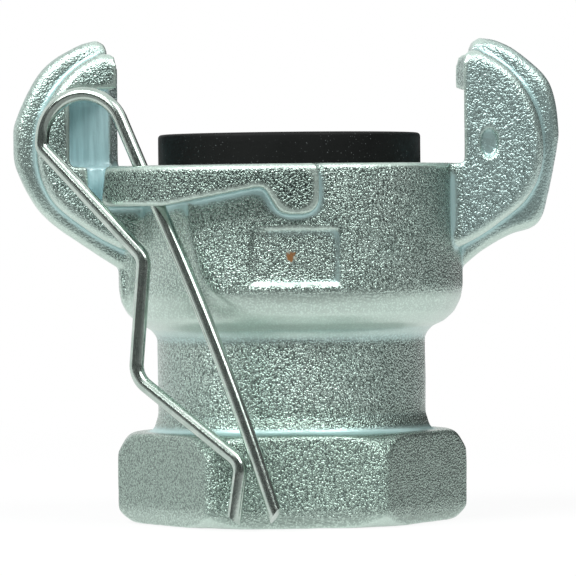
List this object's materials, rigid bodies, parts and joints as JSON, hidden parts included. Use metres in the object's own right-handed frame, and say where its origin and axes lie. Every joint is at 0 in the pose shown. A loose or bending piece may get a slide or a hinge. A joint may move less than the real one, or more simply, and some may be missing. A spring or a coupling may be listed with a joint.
{
  "type": "female end coupling",
  "caption": "Cast claw hose coupling with a threaded hexagon end, hooked claws on cam ledges, a rubber face seal and a swivelling wire safety clip.",
  "frame": {"origin": "centre of the hexagon's end face, on the coupling's turning axis", "axes": "+Z along the turning axis towards the sealing face, +X towards the claw on the right of the front view, and the front, with the clip's ledge and the sunk panel, faces -Y"},
  "size_m": [0.0659, 0.051, 0.0582],
  "materials": {
    "plated_iron": "zinc-plated as-cast surface, fine grainy texture, satin",
    "black_rubber": "matt moulded rubber",
    "plated_wire": "zinc-plated drawn spring wire, semi-bright"
  },
  "bodies": {
    "coupling": {"coupling_body": "plated_iron", "seal_washer": "black_rubber"},
    "clip": {"safety_clip": "plated_wire"}
  },
  "joints": [
    {"name": "clip_swivel", "type": "hinge", "parent": "coupling", "child": "clip", "pos_m": [-0.01706, -0.01558, 0.04052], "axis": [-0.3419, 0.1843, 0.9215], "range_deg": [0, 110]}
  ]
}
